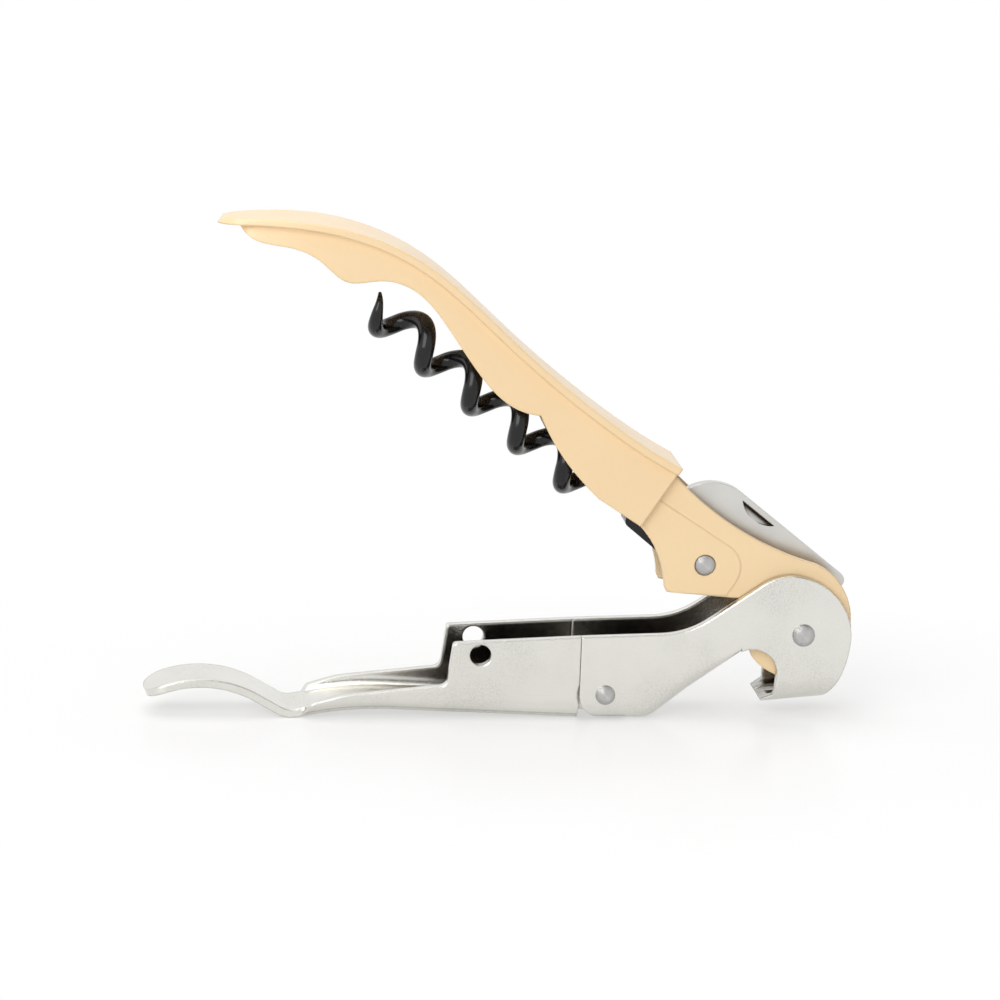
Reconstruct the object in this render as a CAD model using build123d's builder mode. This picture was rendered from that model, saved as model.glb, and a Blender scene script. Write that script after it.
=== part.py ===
from build123d import *
from math import atan, cos, degrees, pi, radians, sin, tan
import os

# Two-stage lever corkscrew, in millimetres. +Z is up, +X points from the thumb tongue to the head,
# and the viewer stands on the -Y side. The lever lies on the table, the handle is raised and the
# worm hangs a little out of the grip. The origin is on the table under the middle of the lever's sole.

# Pose at rest
HANDLE_RAISE = 32.85         # degrees the handle stands open from the lever
WORM_DIP = 6.5               # degrees between the worm's axis and the handle's length

# Running fits
PIN_CLEARANCE = 0.05         # radial gap of a pin in a part that turns on it
SIDE_CLEARANCE = 0.05        # gap beside a part that turns
SEAT_CLEARANCE = 0.02        # radial gap of a rivet in the part that it is closed on
SWING_CLEARANCE = 0.4        # gap round a swinging edge

# Handle frame, a folded steel channel
FRAME_WIDTH = 9.2
FRAME_SHEET = 1.0
FRAME_TAIL = 38.5            # reach of the tail into the grip, from the head rivet
FRAME_TAIL_TOP = 9.5
FRAME_TAIL_LOW = 0.6
FRAME_WEB_START = 33.5
FRAME_HEAD_RADIUS = 8.0
FRAME_LOBE_RADIUS = 8.8
PAD_RISE = 0.1               # coined pad round the worm rivet
PAD_RADIUS = 4.2
PAD_TOP = 5.1
PAD_FRONT = -13.8

# Grip
GRIP_WALL = 1.1
GRIP_HEIGHT = 15.7           # crest of the top line above the head rivet, across the handle
GRIP_END = 32.0              # distance of the open end from the head rivet
GRIP_HOLLOW = 0.81           # share of the grip's length that is hollow
FLANGE_WIDTH = 13.0
FLANGE_LIP = 1.25
FLANGE_TIP = 113.4
FLANGE_TIP_WIDTH = 9.0
FLANGE_TAPER = 0.7           # share of the grip's length where the sides start to close in
FLANGE_EDGE = 0.3            # rounding of the cap's upper edge
WALL_INSET = 0.9             # walls inside the flange's edge at the tip
WALL_TIP_INSET = 2.6

# Lever, two pressed steel channels
LEVER_INNER = 9.7
LEVER_SHEET = 1.4
LEVER_BEND = 3.0             # outer bend radius along the bottom
PIVOT_HEIGHT = 14.2          # head rivet above the table
LINK_SPAN = 31.4             # head rivet to link rivet, along the lever
LINK_HEIGHT = 4.3            # link rivet above the table
SOLE_START = 28.0
SOLE_END = 24.0
NECK_SLOPE = 38.8
WEB_END = 12.6               # where the web of the neck stops, from the head rivet
HOOK_BEND = 4.6
HOOK_INNER_BEND = 2.0
HOOK_SLOT = 3.2              # central slot between the two claws
LINK_EYE = 4.1               # rounded end of the upper link, about the link rivet
BUTT_GAP = 0.1

# Lower link
STEP_X = 55.8                # second-stage step, from the head rivet
STEP_HEIGHT = 12.65          # top of the tall walls above the table
STEP_HOLE = 3.4
STEP_HOLE_INSET = (4.3, 1.9)  # from the step's top corner, along and down
STEP_LEAN = 0.9              # how far the foot of the step stands back from its top corner
STEP_RADIUS = 0.6
STEP_FOOT_RADIUS = 1.4
LOW_WALL_HEIGHT = 5.7
LOW_WALL_END = (6.8, 3.85)   # where the low wall starts to fall, from the end of the floor
WALL_SHOULDER = (2.0, 2.45)
LOW_WALL_RADIUS = 12.0
WALL_SHOULDER_RADIUS = 1.0
WALL_END = (0.6, 0.5)
LOWER_BASE_RISE = 2.3
LOWER_BASE_LENGTH = 29.6
LOWER_BEND_RADIUS = 57.0
LOWER_FALL = 12.7
VALLEY_RADIUS = 4.5
TONGUE_RISE = 30.0
TONGUE_RUN = 4.0
CREST_RADIUS = 17.0
TONGUE_DROP = 24.0
TONGUE_LIP = 1.6
TONGUE_SHEET = 1.3
TONGUE_WIDTH = 9.3
TONGUE_CORNER = 3.6
EAR_SHEET = 1.3
EAR_RADIUS = 3.2
EAR_REACH = 12.0
JOGGLE_LENGTH = 6.5

# Rivets
HEAD_PIN = 3.0
HEAD_RIVET_HEAD = 3.5
WORM_PIN = 2.8
WORM_RIVET_HEAD = 3.3
LINK_PIN = 2.4
LINK_RIVET_HEAD = 3.1
RIVET_HEAD_RISE = 0.45
WORM_HEAD_SINK = 0.4
RIVET_DOME = 0.2

# Worm
WORM_WIRE = 2.8
WORM_OUTER = 8.2
WORM_PITCH = 9.7
WORM_TURNS = 5
WORM_SHORT = 40              # degrees by which the point stops short of the last crown
WORM_OFFSET = 2.55           # helix axis below the worm rivet
WORM_START = 20.1            # first crown of the helix, along the axis from the rivet
HUB_RADIUS = 3.4
HUB_LENGTH = 14.2
HUB_WIDTH = 5.0
HUB_CORNER = 1.0
SHANK_DEPTH = 8.0
SHANK_DROP = 0.6
SHANK_FREE = 0.4
TAPER_STEPS = 2              # quarter turns of the wire that narrow to the point
TAPER_WIRE = 2.2             # wire half-way along the taper
TIP_WIRE = 0.5

# Knife
KNIFE_SHEET = 1.6
KNIFE_TILT = 5.3
KNIFE_BUSH = 7.0
WORM_WASHER = 6.0

# Places of the two other rivets, from the head rivet: along the handle and across it
WORM_RIVET = (-19.5, 0.5)
LINK_RIVET = (-LINK_SPAN, LINK_HEIGHT - PIVOT_HEIGHT)

LEVER_OUTER = LEVER_INNER + 2 * LEVER_SHEET
FRAME_INNER = FRAME_WIDTH - 2 * FRAME_SHEET
GRIP_WIDTH = FRAME_WIDTH + 2 * GRIP_WALL
SOLE_MIDDLE = (SOLE_START + SOLE_END) / 2
TABLE = -PIVOT_HEIGHT

PIVOT = Vector(SOLE_MIDDLE, 0, PIVOT_HEIGHT)


def side_plane(origin, turn):
    """A plane seen from the front, its x axis turned clockwise by so many degrees."""
    x_dir = (cos(radians(turn)), 0, -sin(radians(turn)))
    return Plane(origin=origin, x_dir=x_dir, z_dir=(0, -1, 0))


LEVER = side_plane(PIVOT, 0)
HANDLE = side_plane(PIVOT, HANDLE_RAISE)
PLAN = Plane(origin=PIVOT, x_dir=HANDLE.x_dir, z_dir=HANDLE.y_dir)
KNIFE = side_plane(PIVOT, HANDLE_RAISE + KNIFE_TILT)
WORM_PIVOT = HANDLE.from_local_coords(Vector(*WORM_RIVET, 0))
WORM = side_plane(WORM_PIVOT, HANDLE_RAISE + WORM_DIP)

os.makedirs("parts", exist_ok=True)


def save(builder, name):
    """Labels a finished piece and writes it."""
    builder.part.label = name
    export_step(builder.part, f"parts/{name}.step")


# Upper link of the lever: head cheeks, crown-cap hook, neck and hinge cheeks
NOTCH_X = -9.8
NOTCH_TOP = (NOTCH_X, TABLE + (SOLE_END + NOTCH_X) * tan(radians(NECK_SLOPE)))
FADE_START_X = -18.0         # where the neck's bend starts to run out
FADE_END_X = -7.8
FADE_RIM = 0.3               # bend that is left at the end
NOTCH_BACK = (-5.1, -3.6)
NOTCH_ROOT = (-4.0, -7.4)
HOOK_THROAT = (-4.3, -10.1)
HOOK_POINT = (-6.2, -11.1)
HOOK_TOE = (-5.6, -11.95)
HOOK_HEEL = (3.8, -11.05)
HEAD_CHIN = (7.05, -4.9)
HEAD_FRONT = (7.75, 0)
HEAD_BROW = (5.3, 5.9)
HEAD_TOP = (-2.0, 9.65)
SHOULDER = (-5.0, 9.5)
SHOULDER_RADIUS = 8.5
NECK_TOP_RADIUS = 14.0
SOLE_RADIUS = 4.0
NECK_TOP = (-18.6, 0.1)
LEVER_LOW_TOP = -0.5
LINK_END = LINK_RIVET[0] - LINK_EYE
BEYOND = 8                   # how far a cut runs past what it cuts
WEB_LIP = 3.0                # run of the cut across the web's end
INNER_BEND = LEVER_BEND - LEVER_SHEET

neck_lift = LEVER_SHEET / cos(radians(NECK_SLOPE))
neck_floor = TABLE + neck_lift + (SOLE_END - WEB_END) * tan(radians(NECK_SLOPE))
sole_corner = -SOLE_END - (neck_lift - LEVER_SHEET) / tan(radians(NECK_SLOPE))
neck_normal = (sin(radians(NECK_SLOPE)), -cos(radians(NECK_SLOPE)))
shoulder_slope = (SHOULDER[1] - NECK_TOP[1]) / (SHOULDER[0] - NECK_TOP[0])
hook_slope = (HOOK_HEEL[1] - HOOK_TOE[1]) / (HOOK_HEEL[0] - HOOK_TOE[0])
hook_floor = HOOK_TOE[1] + LEVER_SHEET

with BuildPart() as upper_hollow:
    with BuildSketch(LEVER):
        with BuildLine():
            Polyline(
                (LINK_END - BEYOND, TABLE - BEYOND),
                (-SOLE_START, TABLE - BEYOND),
                (-SOLE_START, TABLE + LEVER_SHEET),
                (sole_corner, TABLE + LEVER_SHEET),
                (-WEB_END, neck_floor),
                (-WEB_END + WEB_LIP * neck_normal[0], neck_floor + WEB_LIP * neck_normal[1]),
                (HOOK_TOE[0] - BEYOND / 2, hook_floor - hook_slope * BEYOND / 2),
                (HOOK_TOE[0] + 3 * BEYOND, hook_floor + hook_slope * 3 * BEYOND),
                (HOOK_TOE[0] + 3 * BEYOND, HEAD_TOP[1] + BEYOND),
                (LINK_END - BEYOND, HEAD_TOP[1] + BEYOND),
                close=True,
            )
        make_face()
    extrude(amount=LEVER_INNER / 2, both=True)
    floor_edges = upper_hollow.faces().filter_by(Axis.Y).edges().filter_by(
        lambda e: e.center().Z < PIVOT_HEIGHT - 6 and e.center().X < PIVOT.X - WEB_END
        and e.center().X > PIVOT.X - SOLE_START
    )
    fillet(floor_edges, INNER_BEND)
    claw_edges = upper_hollow.faces().filter_by(Axis.Y).edges().filter_by(
        lambda e: e.center().Z < PIVOT_HEIGHT - 5 and e.center().X > PIVOT.X
    )
    fillet(claw_edges, HOOK_INNER_BEND)


def bend_cut(x, y, slope, radius):
    """What a bend takes off the near bottom corner, across a line of that slope."""
    origin = LEVER.from_local_coords(Vector(x, y, LEVER_OUTER / 2))
    along = (cos(radians(slope)), 0, sin(radians(slope)))
    with BuildSketch(Plane(origin=origin, x_dir=(0, 1, 0), z_dir=along)) as cut:
        with BuildLine():
            middle = radius * (1 - cos(pi / 4))
            ThreePointArc((radius, 0), (middle, middle), (0, radius))
            Polyline((0, radius), (-BEYOND, radius), (-BEYOND, -BEYOND), (radius, -BEYOND), (radius, 0))
        make_face()
    return cut.sketch


fade_start = (FADE_START_X, TABLE + (SOLE_END + FADE_START_X) * tan(radians(NECK_SLOPE)))
fade_end = (FADE_END_X, TABLE + (SOLE_END + FADE_END_X) * tan(radians(NECK_SLOPE)))
fade_length = (FADE_END_X - FADE_START_X) / cos(radians(NECK_SLOPE))

with BuildPart() as neck_fade_cut:
    loft([
        bend_cut(*fade_start, NECK_SLOPE, LEVER_BEND).face(),
        bend_cut(*fade_end, NECK_SLOPE, FADE_RIM).face(),
    ])

with BuildPart() as neck_fade:
    corner = LEVER.from_local_coords(Vector(*fade_start, LEVER_OUTER / 2))
    neck_along = (cos(radians(NECK_SLOPE)), 0, sin(radians(NECK_SLOPE)))
    with BuildSketch(Plane(origin=corner, x_dir=(0, 1, 0), z_dir=neck_along)):
        Rectangle(LEVER_BEND, LEVER_BEND, align=(Align.MIN, Align.MIN))
    extrude(amount=fade_length)
    add(neck_fade_cut.part, mode=Mode.SUBTRACT)
    mirror(about=Plane.XZ)

with BuildPart() as hook_bend_cut:
    hook_start = HOOK_POINT[0] - LEVER_SHEET
    hook_level = HOOK_TOE[1] + hook_slope * (hook_start - HOOK_TOE[0])
    hook_angle = degrees(atan(hook_slope))
    extrude(bend_cut(hook_start, hook_level, hook_angle, HOOK_BEND), amount=3 * BEYOND)
    mirror(about=Plane.XZ)

with BuildPart() as lever_upper_link:
    with BuildSketch(LEVER):
        with BuildLine():
            FilletPolyline((LINK_END, TABLE), (-SOLE_END, TABLE), NOTCH_TOP, radius=SOLE_RADIUS)
            neck_top_height = NECK_TOP[1] + (NOTCH_X - NECK_TOP[0]) * shoulder_slope
            Line(NOTCH_TOP, (NOTCH_X, neck_top_height))
            FilletPolyline(
                (NOTCH_X, neck_top_height),
                NECK_TOP,
                (LINK_END, LEVER_LOW_TOP),
                radius=NECK_TOP_RADIUS,
            )
            Line((LINK_END, LEVER_LOW_TOP), (LINK_END, TABLE))
        make_face()
    extrude(amount=LEVER_OUTER / 2, both=True)
    fillet(
        lever_upper_link.faces().filter_by(Axis.Y).edges().filter_by(
            lambda e: e.center().Z < PIVOT_HEIGHT / 2 and e.center().X > PIVOT.X + LINK_END + 1
        ),
        LEVER_BEND,
    )
    with BuildSketch(LEVER):
        with BuildLine():
            ThreePointArc(NOTCH_TOP, NOTCH_BACK, NOTCH_ROOT)
            Polyline(NOTCH_ROOT, HOOK_THROAT, HOOK_POINT, HOOK_TOE, HOOK_HEEL)
            ThreePointArc(HOOK_HEEL, HEAD_CHIN, HEAD_FRONT)
            ThreePointArc(HEAD_FRONT, HEAD_BROW, HEAD_TOP)
            FilletPolyline(
                HEAD_TOP, SHOULDER, (NOTCH_X, neck_top_height), radius=SHOULDER_RADIUS
            )
            Line((NOTCH_X, neck_top_height), NOTCH_TOP)
        make_face()
    extrude(amount=LEVER_OUTER / 2, both=True)
    add(neck_fade.part)
    add(hook_bend_cut.part, mode=Mode.SUBTRACT)
    add(upper_hollow.part, mode=Mode.SUBTRACT)
    with BuildSketch(LEVER):
        with BuildLine():
            CenterArc(LINK_RIVET, LINK_EYE, 180, 90)
            Polyline(
                (LINK_RIVET[0], LINK_RIVET[1] - LINK_EYE),
                (-SOLE_START, LINK_RIVET[1] - LINK_EYE),
                (-SOLE_START, TABLE - BEYOND),
                (LINK_END - BEYOND, TABLE - BEYOND),
                (LINK_END - BEYOND, LINK_RIVET[1]),
                (LINK_END, LINK_RIVET[1]),
            )
        make_face()
    extrude(amount=LEVER_OUTER, both=True, mode=Mode.SUBTRACT)
    with BuildSketch(LEVER):
        with Locations((0, HOOK_TOE[1])):
            Rectangle(3 * BEYOND, 4 * LEVER_SHEET)
    extrude(amount=HOOK_SLOT / 2, both=True, mode=Mode.SUBTRACT)
    with BuildSketch(LEVER):
        Circle(HEAD_PIN / 2 + PIN_CLEARANCE)
        with Locations(LINK_RIVET):
            Circle(LINK_PIN / 2 + SEAT_CLEARANCE)
    extrude(amount=LEVER_OUTER, both=True, mode=Mode.SUBTRACT)
save(lever_upper_link, "lever_upper_link")

# Lower link of the lever: hinge ears, tall walls with the second-stage step, low walls, thumb tongue
fall = radians(LOWER_FALL)
rise = radians(LOWER_BASE_RISE)
base_end_height = (
    TABLE
    + LOWER_BEND_RADIUS * (cos(rise) - cos(fall))
    + VALLEY_RADIUS * (1 - cos(fall))
)
BUTT_X = LINK_END - BUTT_GAP
base_start = (BUTT_X, base_end_height - LOWER_BASE_LENGTH * tan(rise))
base_end = (BUTT_X - LOWER_BASE_LENGTH, base_end_height)
low_wall = TABLE + LOW_WALL_HEIGHT
step_top = TABLE + STEP_HEIGHT


def lower_floor(lift):
    """The floor line of the lower link, raised by so much, from the hinge to the tongue's valley."""
    base = Line((base_start[0], base_start[1] + lift), (base_end[0], base_end[1] + lift))
    bend = JernArc(base @ 1, base % 1, LOWER_BEND_RADIUS, LOWER_BASE_RISE + LOWER_FALL)
    return base, bend


with BuildPart() as lower_hollow:
    with BuildSketch(LEVER):
        with BuildLine():
            base, bend = lower_floor(LEVER_SHEET)
            Polyline(
                bend @ 1,
                (bend @ 1) + Vector(-BEYOND, 0),
                (bend @ 1) + Vector(-BEYOND, 2 * STEP_HEIGHT),
                (base @ 0) + Vector(BEYOND, 2 * STEP_HEIGHT),
                (base @ 0) + Vector(BEYOND, 0),
                base @ 0,
            )
        make_face()
    extrude(amount=LEVER_INNER / 2, both=True)
    floor_edges = lower_hollow.faces().filter_by(Axis.Y).edges().filter_by(
        lambda e: e.center().Z < LEVER_SHEET + 3 and e.length > LEVER_OUTER
    )
    fillet(floor_edges, INNER_BEND)

with BuildPart() as lower_tongue:
    with BuildSketch(LEVER):
        with BuildLine():
            base, bend = lower_floor(0)
            valley = JernArc(bend @ 1, bend % 1, VALLEY_RADIUS, -(LOWER_FALL + TONGUE_RISE))
            run = PolarLine(valley @ 1, TONGUE_RUN, direction=valley % 1)
            crest = JernArc(run @ 1, run % 1, CREST_RADIUS, TONGUE_RISE + TONGUE_DROP)
            PolarLine(crest @ 1, TONGUE_LIP, direction=crest % 1)
            offset(amount=TONGUE_SHEET, side=Side.RIGHT)
        make_face()
    extrude(amount=TONGUE_WIDTH / 2, both=True)
    tip_edges = lower_tongue.edges().filter_by(lambda e: e.length < 2 * TONGUE_SHEET)
    fillet(tip_edges.sort_by(Axis.X)[:2], TONGUE_CORNER)

EAR_OUTER = LEVER_INNER / 2 - 2 * SIDE_CLEARANCE
EAR_START = LINK_RIVET[0] - EAR_REACH
EAR_TOP = LINK_RIVET[1] + EAR_RADIUS

with BuildPart() as lower_ears:
    with BuildSketch(LEVER.offset(EAR_OUTER - EAR_SHEET)):
        with Locations(LINK_RIVET):
            Circle(EAR_RADIUS)
        with BuildLine():
            Polyline(
                (LINK_RIVET[0], EAR_TOP),
                (EAR_START, EAR_TOP),
                (EAR_START, base_start[1] + LEVER_SHEET),
                (LINK_END - SWING_CLEARANCE, base_start[1] + LEVER_SHEET),
                (LINK_RIVET[0], LINK_RIVET[1] - EAR_RADIUS),
                close=True,
            )
        make_face()
    extrude(amount=EAR_SHEET)
    with BuildSketch(LEVER.offset(EAR_OUTER - EAR_SHEET)):
        with BuildLine():
            Polyline(
                (EAR_START, EAR_TOP),
                (EAR_START, base_start[1] + LEVER_SHEET),
                (EAR_START + JOGGLE_LENGTH, base_start[1] + LEVER_SHEET),
                (EAR_START + JOGGLE_LENGTH, EAR_TOP),
                close=True,
            )
        make_face()
    extrude(amount=LEVER_INNER / 2 + 0.5 * LEVER_SHEET - EAR_OUTER + EAR_SHEET)
    mirror(about=Plane.XZ)

with BuildPart() as lever_lower_link:
    with BuildSketch(LEVER):
        with BuildLine():
            base, bend = lower_floor(0)
            FilletPolyline(
                bend @ 1,
                (bend @ 1) + Vector(*WALL_END),
                (bend @ 1) + Vector(*WALL_SHOULDER),
                (bend @ 1) + Vector(*LOW_WALL_END),
                (-STEP_X - STEP_LEAN, low_wall),
                (-STEP_X, step_top),
                (BUTT_X, LEVER_LOW_TOP),
                base @ 0,
                radius=[0, WALL_SHOULDER_RADIUS, LOW_WALL_RADIUS, STEP_FOOT_RADIUS, STEP_RADIUS, 0],
            )
        make_face()
    extrude(amount=LEVER_OUTER / 2, both=True)
    fillet(
        lever_lower_link.faces().filter_by(Axis.Y).edges().filter_by(
            lambda e: e.center().Z < LEVER_SHEET + 0.9 and e.length > LEVER_OUTER
        ),
        LEVER_BEND,
    )
    add(lower_hollow.part, mode=Mode.SUBTRACT)
    with BuildSketch(LEVER):
        with Locations(LINK_RIVET):
            Circle(LINK_EYE + SWING_CLEARANCE)
        with Locations((-STEP_X + STEP_HOLE_INSET[0], step_top - STEP_HOLE_INSET[1])):
            Circle(STEP_HOLE / 2)
    extrude(amount=LEVER_OUTER, both=True, mode=Mode.SUBTRACT)
    add(lower_ears.part)
    add(lower_tongue.part)
    with BuildSketch(LEVER):
        with Locations(LINK_RIVET):
            Circle(LINK_PIN / 2 + PIN_CLEARANCE)
    extrude(amount=LEVER_OUTER, both=True, mode=Mode.SUBTRACT)
save(lever_lower_link, "lever_lower_link")

# Handle frame: two walls with the head rounds, joined by a web over the tail inside the grip
FRAME_TOP_START = (-31.0, FRAME_TAIL_TOP)
FRAME_DIP = (-17.5, 8.2)
FRAME_CREST = (-4.5, 10.4)
FRAME_CROWN = (0.93, 9.74)
FRAME_SCOOP = (-27.0, -2.1)
FRAME_NOSE = (-22.9, -6.0)
FRAME_NOSE_TIP = (-22.2, -6.4)
FRAME_LOW_CORNER = (-21.5, -6.1)
FRAME_VALLEY = (-10.6, -0.3)
FRAME_REACH = 2 * FRAME_LOBE_RADIUS + 2
PAD_LOW = -1.7


def on_round(radius, angle):
    """A point on a circle about the head rivet."""
    return (radius * cos(radians(angle)), radius * sin(radians(angle)))


with BuildPart() as frame_hollow:
    with BuildSketch(HANDLE):
        with BuildLine():
            Polyline(
                (-FRAME_WEB_START, FRAME_REACH),
                (-FRAME_WEB_START, FRAME_TAIL_TOP - FRAME_SHEET),
                (-FRAME_TAIL - BEYOND, FRAME_TAIL_TOP - FRAME_SHEET),
                (-FRAME_TAIL - BEYOND, -FRAME_REACH),
                (FRAME_REACH, -FRAME_REACH),
                (FRAME_REACH, FRAME_REACH),
                close=True,
            )
        make_face()
    extrude(amount=FRAME_INNER / 2, both=True)

with BuildPart() as handle_frame:
    with BuildSketch(HANDLE):
        with BuildLine():
            Line((-FRAME_TAIL, FRAME_TAIL_TOP), FRAME_TOP_START)
            ThreePointArc(FRAME_TOP_START, FRAME_DIP, FRAME_CREST)
            ThreePointArc(FRAME_CREST, FRAME_CROWN, on_round(FRAME_HEAD_RADIUS, 45))
            ThreePointArc(
                on_round(FRAME_HEAD_RADIUS, 45),
                on_round(FRAME_HEAD_RADIUS, 0),
                on_round(FRAME_HEAD_RADIUS, -90),
            )
            ThreePointArc(
                on_round(FRAME_HEAD_RADIUS, -90),
                on_round((FRAME_HEAD_RADIUS + FRAME_LOBE_RADIUS) / 2, -105),
                on_round(FRAME_LOBE_RADIUS, -120),
            )
            ThreePointArc(
                on_round(FRAME_LOBE_RADIUS, -120),
                on_round(FRAME_LOBE_RADIUS, -150),
                on_round(FRAME_LOBE_RADIUS, -180),
            )
            Polyline(on_round(FRAME_LOBE_RADIUS, -180), FRAME_VALLEY, FRAME_LOW_CORNER, FRAME_NOSE_TIP)
            Line(FRAME_NOSE_TIP, FRAME_NOSE)
            ThreePointArc(FRAME_NOSE, FRAME_SCOOP, (-GRIP_END, 0))
            Polyline(
                (-GRIP_END, 0),
                (-GRIP_END, FRAME_TAIL_LOW),
                (-FRAME_TAIL, FRAME_TAIL_LOW),
                (-FRAME_TAIL, FRAME_TAIL_TOP),
            )
        make_face()
    extrude(amount=FRAME_WIDTH / 2, both=True)
    with BuildSketch(HANDLE):
        with BuildLine():
            FilletPolyline(
                (-GRIP_END, PAD_TOP),
                (PAD_FRONT, PAD_TOP),
                (PAD_FRONT, PAD_LOW),
                radius=PAD_RADIUS,
            )
            Polyline((PAD_FRONT, PAD_LOW), FRAME_LOW_CORNER, FRAME_NOSE)
            ThreePointArc(FRAME_NOSE, FRAME_SCOOP, (-GRIP_END, 0))
            Line((-GRIP_END, 0), (-GRIP_END, PAD_TOP))
        make_face()
    extrude(amount=FRAME_WIDTH / 2 + PAD_RISE, both=True)
    add(frame_hollow.part, mode=Mode.SUBTRACT)
    with BuildSketch(HANDLE):
        Circle(HEAD_PIN / 2 + PIN_CLEARANCE)
        with Locations(WORM_RIVET):
            Circle(WORM_PIN / 2 + SEAT_CLEARANCE)
    extrude(amount=FRAME_WIDTH, both=True, mode=Mode.SUBTRACT)
    for side in (1, -1):
        with BuildSketch(HANDLE.offset(side * (FRAME_WIDTH / 2 - WORM_HEAD_SINK))):
            with Locations(WORM_RIVET):
                Circle(WORM_RIVET_HEAD / 2 + PIN_CLEARANCE)
        extrude(amount=side * 2 * FRAME_SHEET, mode=Mode.SUBTRACT)
save(handle_frame, "handle_frame")

# Grip: a wide spine cap that follows the top line, on two thin walls with finger lobes
def along_grip(lines):
    """Places points, given as shares of the grip's length and height, on the handle."""
    length = FLANGE_TIP - GRIP_END
    return [(-GRIP_END - along * length, up * GRIP_HEIGHT) for along, up in lines]


TOP_LINE = along_grip(
    [
        (0, 0.726),
        (0.185, 0.72),
        (0.43, 0.866),
        (0.655, 1),
        (0.8, 0.847),
        (0.91, 0.567),
        (1, 0.255),
        (1.05, 0.076),
    ]
)
TIP_SCALLOPS = along_grip(
    [
        (0.967, 0.293),
        (0.934, 0.248),
        (0.865, 0.389),
        (0.803, 0.443),
        (0.743, 0.42),
        (0.689, 0.618),
        (0.624, 0.717),
        (0.544, 0.618),
        (0.434, 0.389),
        (0.35, 0.296),
        (0.287, 0.382),
    ]
)
HEEL_SCALLOP = along_grip([(0.287, 0.382), (0.227, 0.204), (0.17, 0.092), (0.1, 0.006)])


def lowered(points, drop):
    """The same points, so much lower."""
    return [(x, y - drop) for x, y in points]


def plan_shape(start, tip, half, tip_half):
    """The grip's outline seen from above: parallel sides that close in to a rounded tip."""
    taper = -GRIP_END - FLANGE_TAPER * (FLANGE_TIP - GRIP_END)
    with BuildSketch(PLAN) as plan:
        with BuildLine():
            Polyline((taper, half), (start, half), (start, -half), (taper, -half))
            for side in (1, -1):
                Spline(
                    (taper, side * half),
                    (tip_half - tip, side * tip_half),
                    (-tip, 0),
                    tangents=[(-1, 0), (0, -side)],
                )
        make_face()
    return plan.sketch


with BuildPart() as grip_hollow:
    with BuildSketch(HANDLE):
        with BuildLine():
            ceiling = Spline(*lowered(TOP_LINE, FLANGE_LIP))
            Polyline(
                ceiling @ 1,
                (-FLANGE_TIP, -BEYOND),
                (-GRIP_END, -BEYOND),
                ceiling @ 0,
            )
        make_face()
    extrude(amount=FRAME_WIDTH / 2, both=True)
    with BuildSketch(HANDLE):
        with Locations((-GRIP_END, 0)):
            hollow_length = GRIP_HOLLOW * (FLANGE_TIP - GRIP_END)
            Rectangle(hollow_length, 2 * FLANGE_TIP, align=(Align.MAX, Align.CENTER))
    extrude(amount=FRAME_WIDTH, both=True, mode=Mode.INTERSECT)

with BuildPart() as grip_walls:
    with BuildSketch(HANDLE):
        with BuildLine():
            wall_top = Spline(*lowered(TOP_LINE, FLANGE_LIP / 2))
            Spline(*TIP_SCALLOPS)
            Spline(*HEEL_SCALLOP)
            Line(wall_top @ 1, TIP_SCALLOPS[0])
            Polyline(HEEL_SCALLOP[-1], (-GRIP_END, HEEL_SCALLOP[-1][1]), wall_top @ 0)
        make_face()
    extrude(amount=GRIP_WIDTH / 2, both=True)
    wall_plan = plan_shape(
        -GRIP_END, FLANGE_TIP - WALL_TIP_INSET, GRIP_WIDTH / 2, FLANGE_TIP_WIDTH / 2 - WALL_INSET
    )
    extrude(wall_plan, amount=FLANGE_TIP, both=True, mode=Mode.INTERSECT)

with BuildPart() as grip_shell:
    with BuildSketch(HANDLE):
        with BuildLine():
            cap_top = Spline(*TOP_LINE)
            cap_low = Spline(*lowered(TOP_LINE, FLANGE_LIP))
            Line(cap_top @ 0, cap_low @ 0)
            Line(cap_top @ 1, cap_low @ 1)
        make_face()
    extrude(amount=FLANGE_WIDTH / 2, both=True)
    cap_plan = plan_shape(-GRIP_END, FLANGE_TIP, FLANGE_WIDTH / 2, FLANGE_TIP_WIDTH / 2)
    extrude(cap_plan, amount=FLANGE_TIP, both=True, mode=Mode.INTERSECT)
    cap_face = grip_shell.faces().sort_by(SortBy.AREA)[-2:].sort_by(Axis.Z)[-1]
    fillet(cap_face.edges().filter_by(Axis.Y, reverse=True), FLANGE_EDGE)
    add(grip_walls.part)
    add(grip_hollow.part, mode=Mode.SUBTRACT)
save(grip_shell, "grip_shell")

# Knife: a flat blade with a straight spine, a drooping point and a nail nick, folded over the head
SPINE = 10.95
SPINE_START = -21.4
HEEL_X = -0.1
HEEL_ROUND = (0.8, 10.6)
HEEL_FOOT = (1.2, 9.6)
KNIFE_POINT = (-29.2, 4.0)
POINT_ROUND = (-27.05, 8.6)
EDGE_HEEL = (-9.0, 3.6)
TANG_RADIUS = 5.0
NICK_LENGTH = 6.7
NICK_DEPTH = 1.3
NICK_SINK = 0.7              # depth at the straight side, running out at the curved one
NICK_X = -17.2
NICK_TOP = SPINE - 0.85

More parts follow.
